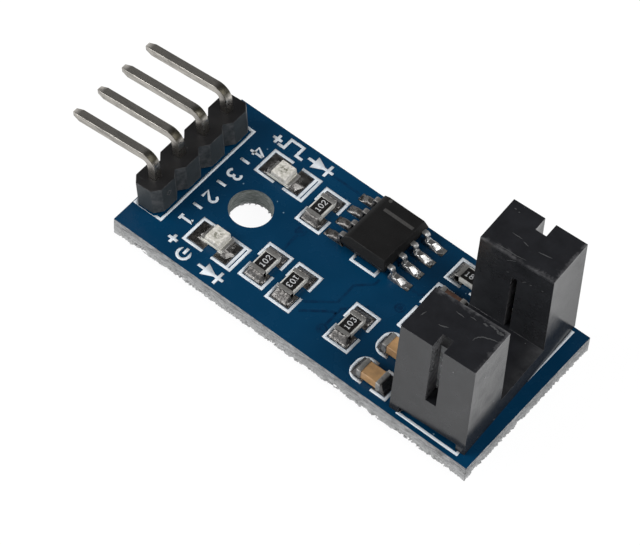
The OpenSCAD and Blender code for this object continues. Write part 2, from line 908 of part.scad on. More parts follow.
module chip_solder() {
    color("silver") {
        for (part = concat(resistors, capacitors))
            on_chip(part) end_fillets(chip_length, chip_width, fillet_height);
        for (light = lights)
            on_light(light) end_fillets(light_length, light_width, min(fillet_height, light_base));
    }
}

circuit_board();
pads();
legend();
header_housing();
header_pin(0);  // header_pin_1
header_pin(1);  // header_pin_2
header_pin(2);  // header_pin_3
header_pin(3);  // header_pin_4
header_solder();
comparator_body();
comparator_lead(0);  // comparator_lead_1
comparator_lead(1);  // comparator_lead_2
comparator_lead(2);  // comparator_lead_3
comparator_lead(3);  // comparator_lead_4
comparator_lead(4);  // comparator_lead_5
comparator_lead(5);  // comparator_lead_6
comparator_lead(6);  // comparator_lead_7
comparator_lead(7);  // comparator_lead_8
comparator_solder();
sensor_housing();
infrared_emitter();
infrared_receiver();
sensor_lead(-1, -1);  // emitter_lead_1
sensor_lead(1, -1);  // emitter_lead_2
sensor_lead(-1, 1);  // receiver_lead_1
sensor_lead(1, 1);  // receiver_lead_2
sensor_solder();
resistor_body(resistors[0]);  // resistor_1_body
resistor_ends(resistors[0]);  // resistor_1_ends
resistor_glaze(resistors[0]);  // resistor_1_glaze
resistor_body(resistors[1]);  // resistor_2_body
resistor_ends(resistors[1]);  // resistor_2_ends
resistor_glaze(resistors[1]);  // resistor_2_glaze
resistor_body(resistors[2]);  // resistor_3_body
resistor_ends(resistors[2]);  // resistor_3_ends
resistor_glaze(resistors[2]);  // resistor_3_glaze
resistor_body(resistors[3]);  // resistor_4_body
resistor_ends(resistors[3]);  // resistor_4_ends
resistor_glaze(resistors[3]);  // resistor_4_glaze
resistor_body(resistors[4]);  // resistor_5_body
resistor_ends(resistors[4]);  // resistor_5_ends
resistor_glaze(resistors[4]);  // resistor_5_glaze
resistor_body(resistors[5]);  // resistor_6_body
resistor_ends(resistors[5]);  // resistor_6_ends
resistor_glaze(resistors[5]);  // resistor_6_glaze
capacitor_body(capacitors[0]);  // capacitor_1_body
capacitor_ends(capacitors[0]);  // capacitor_1_ends
capacitor_body(capacitors[1]);  // capacitor_2_body
capacitor_ends(capacitors[1]);  // capacitor_2_ends
capacitor_body(capacitors[2]);  // capacitor_3_body
capacitor_ends(capacitors[2]);  // capacitor_3_ends
light_base_plate(lights[0]);  // light_1_base
light_ends(lights[0]);  // light_1_ends
light_lens(lights[0]);  // light_1_lens
light_base_plate(lights[1]);  // light_2_base
light_ends(lights[1]);  // light_2_ends
light_lens(lights[1]);  // light_2_lens
chip_solder();
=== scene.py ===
"""Infrared speed sensor module: finishes, small details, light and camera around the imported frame.

Lengths and places are in millimetres, in the row frame, and MM turns them into Blender's metres.
"""

import math
import random

import bmesh
import bpy
from mathutils import Matrix, Quaternion, Vector, noise


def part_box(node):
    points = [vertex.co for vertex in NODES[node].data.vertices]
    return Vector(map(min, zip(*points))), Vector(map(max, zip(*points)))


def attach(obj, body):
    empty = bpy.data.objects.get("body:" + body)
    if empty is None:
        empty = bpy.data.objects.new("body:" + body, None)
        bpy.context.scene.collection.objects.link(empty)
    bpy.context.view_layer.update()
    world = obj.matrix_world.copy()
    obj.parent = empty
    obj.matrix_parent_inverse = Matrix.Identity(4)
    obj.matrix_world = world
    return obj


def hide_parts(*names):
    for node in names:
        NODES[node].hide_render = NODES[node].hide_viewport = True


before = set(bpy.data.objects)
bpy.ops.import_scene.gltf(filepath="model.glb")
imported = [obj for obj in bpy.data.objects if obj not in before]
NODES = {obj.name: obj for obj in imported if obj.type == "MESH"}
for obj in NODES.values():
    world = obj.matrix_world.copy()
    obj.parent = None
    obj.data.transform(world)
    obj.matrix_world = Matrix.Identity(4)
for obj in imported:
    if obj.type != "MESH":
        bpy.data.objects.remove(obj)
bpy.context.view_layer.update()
MM = 0.001

# Camera, as it stood for the photograph
CAMERA_TARGET = (7.02, -1.02, 1.6)
CAMERA_DISTANCE = 242.65
CAMERA_AZIMUTH = 35.35
CAMERA_ELEVATION = 55.36
CAMERA_ROLL = 4.69
CAMERA_LENS = 200.35
SENSOR_WIDTH = 36
PIXEL = 1 / 640

# The slotted sensor stands a little askew on the board. Its sizes are in its own frame
SENSOR_TURN = math.radians(2.7)
SENSOR_HALF_DEPTH = 3.02
SLOT_HALF = 2.5
GROOVE_HALF = 0.42
# Height of a scuff, and the room that the housing makes for it
SCUFF_HEIGHT = 0.012

# The header leans over the board's end. Its plastic is CELL_DEPTH deep along X
HEADER_LEAN = math.radians(7)
CELL_DEPTH = 2.34

# The pins are tarnished on their bends, which begin and end between these places along X. The tarnish also
# paints shade over the bends' highlight
BEND_START, BEND_END = (-6.7, -6.2), (-5.7, -5.5)

# The board's mounting hole, and a reach that holds all of its wall
HOLE_RADIUS, HOLE_REACH = 1.6, 2

# The pads round the header's pins lie below this X, and all others above it
HEADER_PADS_END = -4

# Solder's foot lies at this share of a pad's thickness. Its least height, and its reach from a pad's rim
FOOT_SHARE, THINNEST, RIM_REACH = 0.9, 0.001, 0.09

# Distance between the comparator's leads
LEAD_PITCH = 1.27

# Between these heights the solder at the chip parts turns from a film painted dark as shade to a lump painted
# pale as a highlight
FILM_SHADE_TO_LUMP_HIGHLIGHT = (1.68, 1.92)

LAMP_DISTANCE = 420


# Shader helpers


def add(tree, kind, inputs=None, **settings):
    """A new shader node. An input that is a socket is linked, and any other is set as its value."""
    made = tree.nodes.new("ShaderNode" + kind)
    for key, value in settings.items():
        setattr(made, key, value)
    for key, value in (inputs or {}).items():
        if isinstance(value, bpy.types.NodeSocket):
            tree.links.new(value, made.inputs[key])
        else:
            made.inputs[key].default_value = value
    return made


def empty_tree(owner):
    owner.use_nodes = True
    owner.node_tree.nodes.clear()
    return owner.node_tree


def new_material(name, **constants):
    """A material with one Principled shader, its constants set on the shader's own sockets."""
    material = bpy.data.materials.new(name)
    tree = empty_tree(material)
    shader = add(tree, "BsdfPrincipled", {k.replace("_", " "): v for k, v in constants.items()})
    add(tree, "OutputMaterial", {"Surface": shader.outputs["BSDF"]})
    return material, tree, shader


def link(socket, shader, name):
    shader.id_data.links.new(socket, shader.inputs[name])


def place(tree, stretch=(1, 1, 1)):
    """Coordinates in the row frame, squeezed where a pattern is to be drawn out."""
    here = add(tree, "TexCoord").outputs["Object"]
    return add(tree, "Mapping", {"Vector": here, "Scale": stretch}).outputs["Vector"]


def mottle(tree, size, detail=4, roughness=0.55, stretch=(1, 1, 1), distortion=0):
    """Noise from 0 to 1 with blobs about size across."""
    return add(tree, "TexNoise", {
        "Vector": place(tree, stretch), "Scale": 1 / (size * MM), "Detail": detail,
        "Roughness": roughness, "Distortion": distortion,
    }).outputs["Fac"]


def combine(tree, operation, first, *others):
    """One value worked out from all, by the same operation again and again."""
    for other in others:
        first = add(tree, "Math", {0: first, 1: other}, operation=operation).outputs[0]
    return first


def facing(tree):
    """The X, Y and Z of the surface's normal."""
    return split(add(tree, "NewGeometry").outputs["Normal"])


def shade(tone, share):
    return tuple(share * c for c in tone)


def specks(tree, spacing, radius, share):
    """1 on small round specks and 0 elsewhere. Only a share of the cells holds a speck."""
    cell = add(tree, "TexVoronoi", {"Vector": place(tree), "Scale": 1 / (spacing * MM)})
    red = add(tree, "SeparateColor", {"Color": cell.outputs["Color"]}).outputs[0]
    near = combine(tree, "LESS_THAN", cell.outputs["Distance"], radius / spacing)
    return product(near, combine(tree, "LESS_THAN", red, share))


# The helpers below work in the tree of the socket that they are given first


def ramp(factor, *stops):
    """Colours along a factor. A stop is (position, (red, green, blue))."""
    made = add(factor.id_data, "ValToRGB", {"Fac": factor})
    elements = made.color_ramp.elements
    while len(elements) < len(stops):
        elements.new(0.5)
    for element, (position, colour) in zip(elements, stops):
        element.position = position
        element.color = (*colour, 1)
    return made.outputs["Color"]


def spread(value, low, high, to_low=0, to_high=1):
    """Maps low..high to to_low..to_high, and holds it there."""
    return add(value.id_data, "MapRange", {
        "Value": value, "From Min": low, "From Max": high, "To Min": to_low, "To Max": to_high,
    }).outputs["Result"]


def span(value, low, high, to_low=0, to_high=1):
    """The same for a place or length, where low and high are in millimetres."""
    return spread(value, low * MM, high * MM, to_low, to_high)


def absolute(value):
    return add(value.id_data, "Math", {0: value}, operation="ABSOLUTE").outputs[0]


def product(*factors):
    return combine(factors[0].id_data, "MULTIPLY", *factors)


def split(vector):
    return add(vector.id_data, "SeparateXYZ", {"Vector": vector}).outputs


def blend(factor, first, second):
    """Colour first at factor 0, colour second at factor 1."""
    tree = factor.id_data
    made = add(tree, "Mix", {0: factor}, data_type="RGBA")
    for index, colour in ((6, first), (7, second)):
        if isinstance(colour, bpy.types.NodeSocket):
            tree.links.new(colour, made.inputs[index])
        else:
            made.inputs[index].default_value = (*colour, 1)
    return made.outputs[2]


def relief(height, depth):
    """A bump whose height runs over depth."""
    return add(height.id_data, "Bump", {"Height": height, "Distance": depth * MM}).outputs["Normal"]


# Materials


def blue_mask():
    """The board's blue solder mask, a little uneven and dusty."""
    material, tree, shader = new_material("blue_mask", Roughness=0.24, Specular_IOR_Level=0.25)
    cloud = mottle(tree, 6, detail=3)
    colour = ramp(cloud, (0.3, (0.0003, 0.030, 0.077)), (0.7, (0.0006, 0.040, 0.100)))
    dust = specks(tree, 0.9, 0.06, 0.35)
    link(blend(dust, colour, (0.16, 0.26, 0.34)), shader, "Base Color")
    link(spread(mottle(tree, 1.5), 0.3, 0.7, 0.18, 0.32), shader, "Roughness")
    link(relief(mottle(tree, 0.35, detail=2), 0.004), shader, "Normal")
    return material


def trace_mask():
    """The same mask where copper below lifts it."""
    material, tree, shader = new_material("trace_mask", Roughness=0.26, Specular_IOR_Level=0.25)
    colour = ramp(mottle(tree, 0.3), (0.35, (0.001, 0.020, 0.058)), (0.65, (0.0006, 0.034, 0.088)))
    link(colour, shader, "Base Color")
    link(relief(mottle(tree, 0.3, detail=2), 0.003), shader, "Normal")
    return material


def bare_laminate():
    """The board's cut edge: layers of glass cloth, frayed pale towards the underside."""
    material, tree, shader = new_material("bare_laminate", Roughness=0.85)
    fibres = mottle(tree, 0.7, detail=7, roughness=0.7, stretch=(1, 1, 5))
    grain = mottle(tree, 0.12, detail=3)
    mixed = combine(tree, "ADD", product(grain, 0.35), fibres)
    colour = ramp(
        mixed,
        (0.48, (0.09, 0.088, 0.085)), (0.62, (0.195, 0.198, 0.202)), (0.78, (0.42, 0.425, 0.43)))
    low_down = span(split(place(tree))["Z"], -0.1, 1.2, 1, 0)
    frayed = product(low_down, spread(grain, 0.35, 0.6, 0.35, 1))
    link(blend(frayed, colour, (0.57, 0.575, 0.575)), shader, "Base Color")
    link(relief(mixed, 0.09), shader, "Normal")
    return material


def drilled_laminate():
    """The wall of a drilled hole, where the bit has cut the glass cloth in level rings."""
    material, tree, shader = new_material("drilled_laminate", Roughness=0.7)
    rings = mottle(tree, 0.5, detail=6, roughness=0.7, stretch=(1, 1, 7))
    colour = ramp(rings, (0.36, (0.07, 0.088, 0.084)), (0.5, (0.18, 0.20, 0.19)), (0.66, (0.42, 0.44, 0.42)))
    link(colour, shader, "Base Color")
    link(relief(rings, 0.05), shader, "Normal")
    return material


def legend_ink():
    """White ink of the board's print, worn grey in places."""
    material, tree, shader = new_material("legend_ink", Roughness=0.5)
    worn = mottle(tree, 0.25, detail=5, roughness=0.7)
    colour = ramp(worn, (0.3, (0.42, 0.49, 0.56)), (0.42, (0.70, 0.75, 0.80)), (0.7, (0.82, 0.86, 0.89)))
    link(colour, shader, "Base Color")
    link(relief(worn, 0.01), shader, "Normal")
    return material


# Mask of the rounded edges, which are painted paler, partly as wear and partly as a painted sheen
def worn_edges(tree):
    """1 on rounded edges, where the normal lies between two sides, and 0 on flat faces."""
    normal = facing(tree)
    x, y, z = (absolute(normal[axis]) for axis in "XYZ")
    flat = combine(tree, "MAXIMUM", x, y)
    both = combine(tree, "MAXIMUM", product(flat, z), product(x, y))
    return spread(both, 0.14, 0.42)


def sensor_wear(tree):
    """High on smears along the upper rims of the sensor's towers, partly worn and partly a painted highlight,
    and on dust on its grooves' walls, which also paints light there; 0 elsewhere.
    """
    low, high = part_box("sensor_housing")
    centre = (low + high) / 2
    turned = add(tree, "Mapping", {
        "Vector": place(tree), "Location": centre, "Rotation": (0, 0, SENSOR_TURN),
    }, vector_type="TEXTURE").outputs["Vector"]
    here = split(turned)
    to_end = combine(tree, "SUBTRACT", SENSOR_HALF_DEPTH * MM, here["X"])
    to_slot = combine(tree, "SUBTRACT", absolute(here["Y"]), SLOT_HALF * MM)
    waver = spread(mottle(tree, 0.5, detail=6, roughness=0.7), 0.35, 0.65, 0, 0.4 * MM)
    to_rim = combine(tree, "ADD", combine(tree, "MINIMUM", to_end, to_slot), waver)
    near_rim = span(to_rim, 0.2, 0.5, 0.6, 0)
    patches = spread(mottle(tree, 1.3), 0.4, 0.6, 0.25, 1)
    top = high.z - centre.z
    at_top = spread(here["Z"], top - 0.3 * MM, top - 0.1 * MM)
    in_groove = span(absolute(here["X"]), GROOVE_HALF + 0.04, GROOVE_HALF + 0.1, 1, 0)
    on_wall = spread(absolute(facing(tree)["X"]), 0.6, 0.8)
    dusty = spread(mottle(tree, 0.4, detail=5), 0.35, 0.62, 0.35, 0.85)
    # Pale smears along the rims: partly wear, partly a painted highlight
    rims = product(near_rim, patches, at_top)
    # Pale dust on the groove walls, which also paints light onto walls that get almost none
    return combine(tree, "MAXIMUM", rims, product(in_groove, on_wall, dusty))


def black_plastic(name, shaded_top_tone, lit_side_tone, rough, grain, scuffed, edge_wear_and_sheen_share=0.0, more_wear_and_painted_light=None):
    """Black moulded plastic: sides painted lighter and tops painted darker, as lit and shaded copies, a fine
    grain, pale specks, and rounded edges paled partly by being worn and partly by a painted sheen.
    """
    material, tree, shader = new_material(name)
    cloud = mottle(tree, 1.6, detail=6, roughness=0.65)
    # Lit and shaded copies of one plastic: the sides painted lighter, the tops painted darker
    side, top = (
        ramp(cloud, (0.3, shade(tone, 0.75)), (0.7, shade(tone, 1.25)))
        for tone in (lit_side_tone, shaded_top_tone))
    normal = facing(tree)
    base = blend(spread(normal["Z"], 0.3, 0.9), side, top)
    marks = specks(tree, 0.8, 0.07, scuffed)
    scratches = mottle(tree, 0.5, detail=6, roughness=0.75, stretch=(0.5, 1.7, 1), distortion=1.5)
    faint = product(spread(scratches, 0.62, 0.74), scuffed)
    # Rounded edges painted paler: partly wear, partly a painted sheen
    uneven = spread(mottle(tree, 0.45, detail=5), 0.38, 0.7, 0, edge_wear_and_sheen_share)
    rubbed_and_sheen = product(worn_edges(tree), uneven)
    marks_wear_and_painted_light = combine(tree, "MAXIMUM", marks, faint, rubbed_and_sheen)
    if more_wear_and_painted_light:
        marks_wear_and_painted_light = combine(tree, "MAXIMUM", marks_wear_and_painted_light, more_wear_and_painted_light(tree))
    link(blend(marks_wear_and_painted_light, base, (0.14, 0.14, 0.145)), shader, "Base Color")
    link(spread(mottle(tree, 1.1), 0.3, 0.75, rough, rough + 0.14), shader, "Roughness")
    link(spread(absolute(normal["X"]), 0.7, 0.95, 0.28, 0.165), shader, "Specular IOR Level")
    link(relief(mottle(tree, 0.1, detail=3), grain), shader, "Normal")
    return material


def metal(name, tone, rough, lump, depth):
    """Tinned metal or solder: uneven gloss, and lumps of the given size and depth."""
    material, tree, shader = new_material(name, Metallic=1.0)
    uneven = mottle(tree, lump, detail=5, roughness=0.6)
    link(ramp(uneven, (0.3, shade(tone, 0.62)), (0.62, tone)), shader, "Base Color")
    link(spread(uneven, 0.3, 0.7, rough + 0.16, rough - 0.06), shader, "Roughness")
    link(relief(uneven, depth), shader, "Normal")
    return material


def pin_metal(name, tone, tarnish_and_shade_tone):
    """Plated pins with drawing marks along them, tops painted lighter and -Y sides painted darker, and olive,
    tarnished bends whose dark tone also paints shade over their highlight.
    """
    material, tree, shader = new_material(name, Metallic=1.0)
    drawn = mottle(tree, 0.5, detail=6, roughness=0.72, stretch=(0.4, 1.5, 1.5))
    along, normal = split(place(tree))["X"], facing(tree)
    # Copies of the plating for ends, tops and sides: the tops painted lighter and the -Y sides painted
    # darker, painted light and shade
    ends, top, side = (
        ramp(drawn, (0.33, shade(tone, 0.5 * share)), (0.58, shade(tone, share)))
        for share in (1, 1.2, 0.85))
    plated_lit_and_shaded = blend(spread(normal["Z"], 0.7, 0.95), ends, top)
    plated_lit_and_shaded = blend(spread(normal["Y"], -0.2, -0.5), plated_lit_and_shaded, side)
    # Olive tarnish on the bends, placed so that it also paints shade over the highlight the bends would catch
    bend_tarnish_and_shade = product(
        span(along, *BEND_START), span(along, *BEND_END, 1, 0),
        spread(normal["Z"], 0.15, 0.4), spread(mottle(tree, 0.5), 0.3, 0.5, 0.75, 1))
    link(blend(bend_tarnish_and_shade, plated_lit_and_shaded, tarnish_and_shade_tone), shader, "Base Color")
    gloss, dull = spread(drawn, 0.3, 0.7, 0.38, 0.2), spread(bend_tarnish_and_shade, 0, 1, 0, 0.42)
    link(combine(tree, "MAXIMUM", gloss, dull), shader, "Roughness")
    link(relief(drawn, 0.003), shader, "Normal")
    return material


def chip_solder(name, film, lump):
    """Solder that is a gloss film near the board, painted dark as shade, and a crumbly grey lump above it,
    painted paler with highlights.
    """
    material, tree, shader = new_material(name, Metallic=1.0)
    grain = mottle(tree, 0.14, detail=5, roughness=0.7)
    waver = spread(grain, 0.3, 0.7, -0.1 * MM, 0.1 * MM)
    level = combine(tree, "ADD", split(place(tree))["Z"], waver)
    raised_highlight_share = span(level, *FILM_SHADE_TO_LUMP_HIGHLIGHT)
    # The lump is painted paler with bright spots and the film darker: painted highlight and shade on one
    # solder
    pale = ramp(grain, (0.36, shade(lump, 0.5)), (0.56, lump), (0.7, shade(lump, 1.25)))
    dark = ramp(mottle(tree, 0.3, detail=5), (0.35, shade(film, 0.5)), (0.65, shade(film, 1.6)))
    link(blend(raised_highlight_share, dark, pale), shader, "Base Color")
    link(spread(product(raised_highlight_share, grain), 0, 0.5, 0.16, 0.4), shader, "Roughness")
    link(relief(grain, 0.03), shader, "Normal")
    return material


def fired_ceramic(name, dark, light, rough):
    """Ceramic or moulded body of a chip part, clouded from a dark to a light tone."""
    material, tree, shader = new_material(name, Roughness=rough)
    link(ramp(mottle(tree, 0.5, detail=5), (0.3, dark), (0.7, light)), shader, "Base Color")
    link(relief(mottle(tree, 0.08), 0.006), shader, "Normal")
    return material


def clear_resin(name, tone, clear, rough, cloudiness):
    """Cast resin: partly clear, with cloudy patches and a slightly uneven skin."""
    material, tree, shader = new_material(name, Transmission_Weight=clear, IOR=1.5)
    cloud = mottle(tree, 0.22, distortion=0.6)
    link(ramp(cloud, (0.34, shade(tone, cloudiness)), (0.6, tone)), shader, "Base Color")
    link(spread(cloud, 0.3, 0.7, rough, rough + 0.2), shader, "Roughness")
    link(relief(mottle(tree, 0.3, detail=3), 0.02), shader, "Normal")
    return material


def cast_lens(name, centre):
    """Cream resin of a small light, with the die and its cup showing dark about the centre."""
    material, tree, shader = new_material(name, Roughness=0.14)
    cloud = mottle(tree, 0.24, distortion=0.6)
    cream = ramp(cloud, (0.32, (0.62, 0.60, 0.52)), (0.6, (0.88, 0.85, 0.79)))
    away = add(tree, "VectorMath", {0: place(tree), 1: tuple(centre)}, operation="DISTANCE").outputs["Value"]
    patches = spread(mottle(tree, 0.2, detail=2), 0.44, 0.56)
    shadow = product(span(away, 0.3, 0.5, 1, 0), patches)
    link(blend(shadow, cream, (0.2, 0.2, 0.15)), shader, "Base Color")
    link(spread(cloud, 0.3, 0.7, 0.7, 0.9), shader, "Alpha")
    link(relief(mottle(tree, 0.3, detail=3), 0.012), shader, "Normal")
    return material


def printed(name, tone):
    """Ink of numerals and marks on the parts."""
    material, tree, shader = new_material(name, Roughness=0.55)
    link(ramp(mottle(tree, 0.1), (0.3, shade(tone, 0.7)), (0.6, tone)), shader, "Base Color")
    return material


MASK = blue_mask()
TRACE = trace_mask()
LAMINATE = bare_laminate()
DRILLED = drilled_laminate()
# A row holds a finish's name, the function that makes it, and that function's values
FINISH = {name: make(name, *values) for name, make, *values in (
    ("tinned_copper", metal, (0.24, 0.235, 0.22), 0.3, 0.35, 0.006),
    ("solder", metal, (0.56, 0.555, 0.545), 0.25, 0.5, 0.001),
    # Its film tone is painted shade, and its lump tone a painted highlight
    ("dull_solder", chip_solder, (0.15, 0.145, 0.14), (0.205, 0.196, 0.188)),
    ("lead_metal", metal, (0.66, 0.66, 0.65), 0.36, 0.3, 0.006),
    # A darker copy of the lead metal for the leads away from the sensor: painted shade
    ("dull_lead_metal", metal, (0.34, 0.33, 0.32), 0.46, 0.3, 0.006),
    ("end_metal", metal, (0.54, 0.53, 0.51), 0.4, 0.2, 0.03),
    ("pin_metal", pin_metal, (0.50, 0.475, 0.435), (0.07, 0.064, 0.048)),
    ("header_plastic", black_plastic,
     (0.0075, 0.0075, 0.0085), (0.031, 0.037, 0.041), 0.4, 0.006, 0.2, 0.5),
    ("comparator_resin", black_plastic,
     (0.005, 0.0048, 0.0048), (0.008, 0.008, 0.008), 0.46, 0.012, 0.1),
    ("sensor_plastic", black_plastic,
     (0.0145, 0.015, 0.0175), (0.021, 0.022, 0.0245), 0.13, 0.001, 0.12, 0.8, sensor_wear),
    ("resistor_glaze", black_plastic,
     (0.011, 0.0105, 0.0105), (0.011, 0.0105, 0.0105), 0.26, 0.004, 0.08),
    ("emitter_resin", clear_resin, (0.80, 0.82, 0.84), 0.4, 0.1, 0.6),
    # The receiver's grey is raised to brighten the dark slit around it: painted light
    ("receiver_resin", clear_resin, (0.09, 0.08, 0.1), 0.15, 0.12, 0.5),
    ("resistor_ceramic", fired_ceramic, (0.46, 0.46, 0.43), (0.74, 0.73, 0.69), 0.5),
    ("capacitor_ceramic", fired_ceramic, (0.36, 0.215, 0.105), (0.58, 0.345, 0.16), 0.3),
    # A darker copy of the capacitor ceramic for the third capacitor: painted shade
    ("dark_ceramic", fired_ceramic, (0.05, 0.026, 0.018), (0.12, 0.062, 0.042), 0.3),
    ("light_base", fired_ceramic, (0.66, 0.65, 0.58), (0.84, 0.83, 0.76), 0.5),
)}
FINISH["legend_ink"] = legend_ink()
NUMERAL_INK = printed("numeral_ink", (0.66, 0.67, 0.68))
# Faint ink for the comparator's bar, and a painted highlight for its dot
FAINT_INK_AND_HIGHLIGHT = printed("faint_ink_and_highlight", (0.055, 0.053, 0.051))
SCUFF = printed("scuffed_plastic", (0.062, 0.064, 0.066))
DIE = printed("light_die", (0.10, 0.095, 0.075))


# Mesh helpers


def new_piece(name, verts, faces, material, slot, sharp=40):
    """A piece from corners in millimetres, smooth but for its sharp edges, riding on the one body."""
    mesh = bpy.data.meshes.new(name)
    mesh.from_pydata([Vector(v) * MM for v in verts], [], faces)
    mesh.validate()
    mesh.materials.append(material)
    return finish_piece(name, mesh, sharp)


def in_scene(name, data):
    """A new object that holds data, put into the scene."""
    made = bpy.data.objects.new(name, data)
    bpy.context.scene.collection.objects.link(made)
    return made


def finish_piece(name, mesh, sharp=40):
    smooth(mesh, sharp)
    piece = in_scene(name, mesh)
    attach(piece, "root")
    return piece


def smooth(mesh, sharp):
    mesh.polygons.foreach_set("use_smooth", [True] * len(mesh.polygons))
    mesh.set_sharp_from_angle(angle=math.radians(sharp))
    mesh.update()


def islands(node):
    """Lowest and highest corner, in millimetres, of each separate solid of a CAD node."""
    work = bmesh.new()
    work.from_mesh(NODES[node].data)
    bmesh.ops.remove_doubles(work, verts=work.verts, dist=1e-7)
    left, found = set(work.verts), []
    while left:
        stack, group = [left.pop()], []
        while stack:
            vert = stack.pop()
            group.append(vert.co / MM)
            for edge in vert.link_edges:
                other = edge.other_vert(vert)
                if other in left:
                    left.remove(other)
                    stack.append(other)
        low = Vector([min(p[i] for p in group) for i in range(3)])
        high = Vector([max(p[i] for p in group) for i in range(3)])
        found.append((low, high))
    work.free()
    return sorted(found, key=lambda box: tuple(box[0]))


def box_mm(node):
    low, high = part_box(node)
    return low / MM, high / MM


def middle(node):
    low, high = box_mm(node)
    return (low + high) / 2


def mound(low, high, height, steps, verts, faces):
    """A closed low mound on the pad low..high, whose top at (x, y) is height(x, y) above its foot."""
    base = low.z + (high.z - low.z) * FOOT_SHARE
    nx, ny = steps
    start = len(verts)
    grid = [
        (low.x + (high.x - low.x) * i / nx, low.y + (high.y - low.y) * j / ny)
        for j in range(ny + 1) for i in range(nx + 1)
    ]
    verts += [(x, y, base + height(x, y)) for x, y in grid]
    under = len(verts)
    verts += [(x, y, base) for x, y in grid]
    row = nx + 1
    for j in range(ny):
        for i in range(nx):
            a = j * row + i
            faces.append([start + a, start + a + 1, start + a + row + 1, start + a + row])
            faces.append([under + a, under + a + row, under + a + row + 1, under + a + 1])
    rim = (
        list(range(nx))
        + [nx + j * row for j in range(ny)]
        + [ny * row + nx - i for i in range(nx)]
        + [(ny - j) * row for j in range(ny)]
    )
    for a, b in zip(rim, rim[1:] + rim[:1]):
        faces.append([start + a, under + a, under + b, start + b])


def ribbon(points, width, thickness, verts, faces, ring=False, pointed=0):
    """A flat band along points (x, y, z), closed on all sides, whose ends narrow by the share pointed."""
    start = len(verts)
    count = len(points)
    for i, point in enumerate(points):
        here = Vector(point)
        before = Vector(points[i - 1 if ring else max(i - 1, 0)])
        after = Vector(points[(i + 1) % count if ring else min(i + 1, count - 1)])
        along = (after - before).normalized()
        narrowing = 1 - pointed * abs(2 * i / (count - 1) - 1) ** 2
        side = Vector((-along.y, along.x, 0)).normalized() * width / 2 * narrowing
        for across, up in ((-1, 0), (1, 0), (1, thickness), (-1, thickness)):
            verts.append(here + side * across + Vector((0, 0, up)))
    for i in range(count if ring else count - 1):
        a, b = start + 4 * i, start + 4 * ((i + 1) % count)
        for k in range(4):
            n = (k + 1) % 4
            faces.append([a + k, a + n, b + n, b + k])
    if not ring:
        faces.append([start + 3, start + 2, start + 1, start])
        end = start + 4 * (count - 1)
        faces.append([end, end + 1, end + 2, end + 3])


def arc(centre, radii, first=0, last=360, steps=24):
    """Points (x, y) on an ellipse, between angles in degrees."""
    angles = [math.radians(first + (last - first) * i / steps) for i in range(steps + 1)]
    return [(centre[0] + radii[0] * math.cos(a), centre[1] + radii[1] * math.sin(a)) for a in angles]


def disc(centre, radius, low, high, verts, faces, count=20):
    """A flat round plate between two heights, added to verts and faces."""
    start = len(verts)
    rim = arc(centre, (radius, radius), steps=count)[:-1]
    verts += [(x, y, z) for z in (low, high) for x, y in rim]
    for i in range(count):
        n = (i + 1) % count
        faces.append([start + i, start + n, start + count + n, start + count + i])
    faces.append([start + i for i in range(count)][::-1])
    faces.append([start + count + i for i in range(count)])


# Pen strokes of the numerals, in a cell 1 high, about its middle. The next begins ADVANCE further
ADVANCE = 0.82
STROKES = {
    "0": [arc((0, 0), (0.27, 0.45))],
    "1": [[(-0.2, 0.26), (0.02, 0.45), (0.02, -0.45)], [(-0.2, -0.45), (0.24, -0.45)]],
    "2": [arc((0, 0.2), (0.25, 0.25), 165, -40) + [(-0.27, -0.45), (0.29, -0.45)]],
    "3": [arc((-0.02, 0.22), (0.23, 0.23), 150, -90), arc((-0.02, -0.22), (0.27, 0.24), 90, -150)],
    "4": [[(0.13, -0.47), (0.13, 0.45), (0.05, 0.45), (-0.32, -0.16), (0.34, -0.16)]],
    "8": [arc((0, 0.23), (0.21, 0.22)), arc((0, -0.22), (0.26, 0.24))],
}


def numerals(name, text, height, pen, at, turn, top, ink):
    """Plain numerals of the given height, centred at (x, y), turned by turn degrees, on a face at top."""
    sunk, proud, layer_step = 0.004, 0.008, 0.001
    c, s = math.cos(math.radians(turn)), math.sin(math.radians(turn))
    verts, faces = [], []
    for index, numeral in enumerate(text):
        start = (index - (len(text) - 1) / 2) * ADVANCE
        for layer, stroke in enumerate(STROKES[numeral]):
            points = [((start + x) * height, y * height) for x, y in stroke]
            line = [(at[0] + c * x - s * y, at[1] + s * x + c * y, top - sunk) for x, y in points]
            ribbon(line, pen, sunk + proud + layer_step * layer, verts, faces)
    new_piece(name, verts, faces, ink, "legend_ink")


# The frame's own solids

# Parts of nodes' names, each with a finish and the width of its rounded edges. The first that fits counts
DRESS = [
    ("_solder", "solder", 0), ("_ends", "end_metal", 0.035), ("_glaze", "resistor_glaze", 0.01),
    ("_lens", "light_lens", 0.07), ("_lead", "lead_metal", 0.03), ("header_pin", "pin_metal", 0.035),
    ("header", "header_plastic", 0.05), ("comparator", "comparator_resin", 0.04),
    ("sensor", "sensor_plastic", 0.2), ("emitter", "emitter_resin", 0), ("receiver", "receiver_resin", 0),
    ("pads", "tinned_copper", 0), ("legend", "legend_ink", 0), ("resistor", "resistor_ceramic", 0.02),
    # The third capacitor takes the darker ceramic: painted shade
    ("capacitor_3", "dark_ceramic", 0.06), ("capacitor", "capacitor_ceramic", 0.06),
    ("light", "light_base", 0.02),
]


def round_edges(solid, width):
    """Rounds a solid's edges, once the flat faces of its mesh are whole."""
    flat = solid.modifiers.new("flat", "DECIMATE")
    flat.decimate_type = "DISSOLVE"
    flat.angle_limit = math.radians(0.5)
    round_off = solid.modifiers.new("round_off", "BEVEL")
    round_off.width = width * MM
    round_off.segments = 2
    round_off.limit_method = "ANGLE"
    round_off.angle_limit = math.radians(35)
    round_off.use_clamp_overlap = True
    even = solid.modifiers.new("even", "WEIGHTED_NORMAL")
    even.keep_sharp = False


